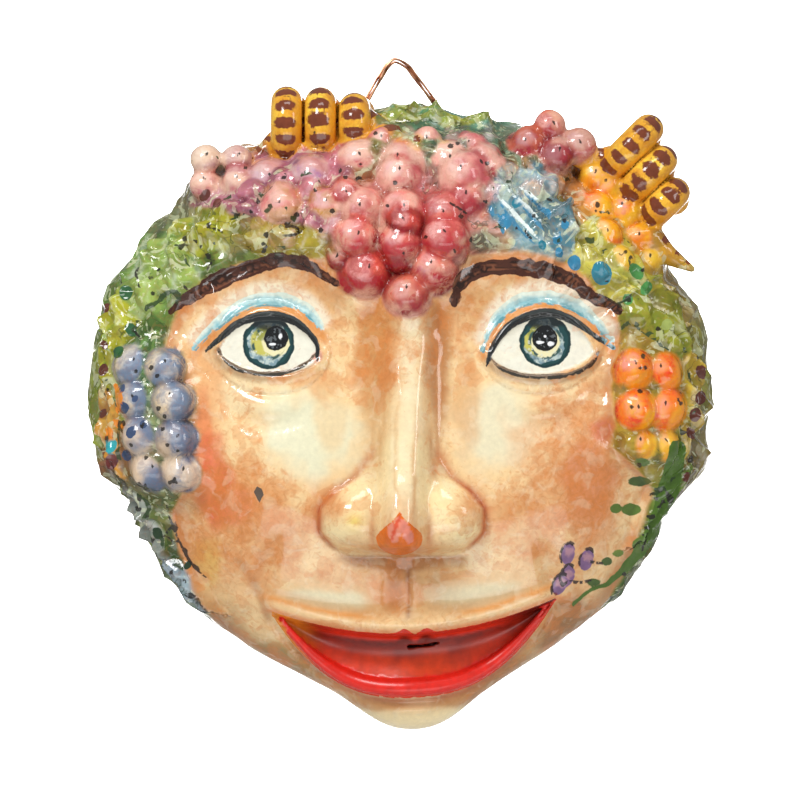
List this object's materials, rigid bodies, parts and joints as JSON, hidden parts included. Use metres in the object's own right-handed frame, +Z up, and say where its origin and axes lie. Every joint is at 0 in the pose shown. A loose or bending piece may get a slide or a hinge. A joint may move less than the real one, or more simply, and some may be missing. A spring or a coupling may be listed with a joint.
{
  "type": "ceramic wall mask",
  "caption": "Open-backed glazed ceramic face mask crowned with vine leaves, grapes and coiled tendrils, hung on a wall by a bent wire loop.",
  "frame": {"origin": "the point under the top of the wire loop where the nail bears", "axes": "+X to the right of someone looking at the face, +Y into the wall, +Z up; the face looks towards -Y and the flat back rim lies in the plane y = 8 mm"},
  "size_m": [0.3444, 0.1084, 0.3684],
  "materials": {
    "glazed_mask": "glossy transparent glaze over hand-painted tin-glazed earthenware",
    "hanging_wire": "bare copper wire, lightly tarnished"
  },
  "bodies": {
    "root": {"mask": "glazed_mask", "hanging_loop": "hanging_wire"}
  },
  "joints": []
}
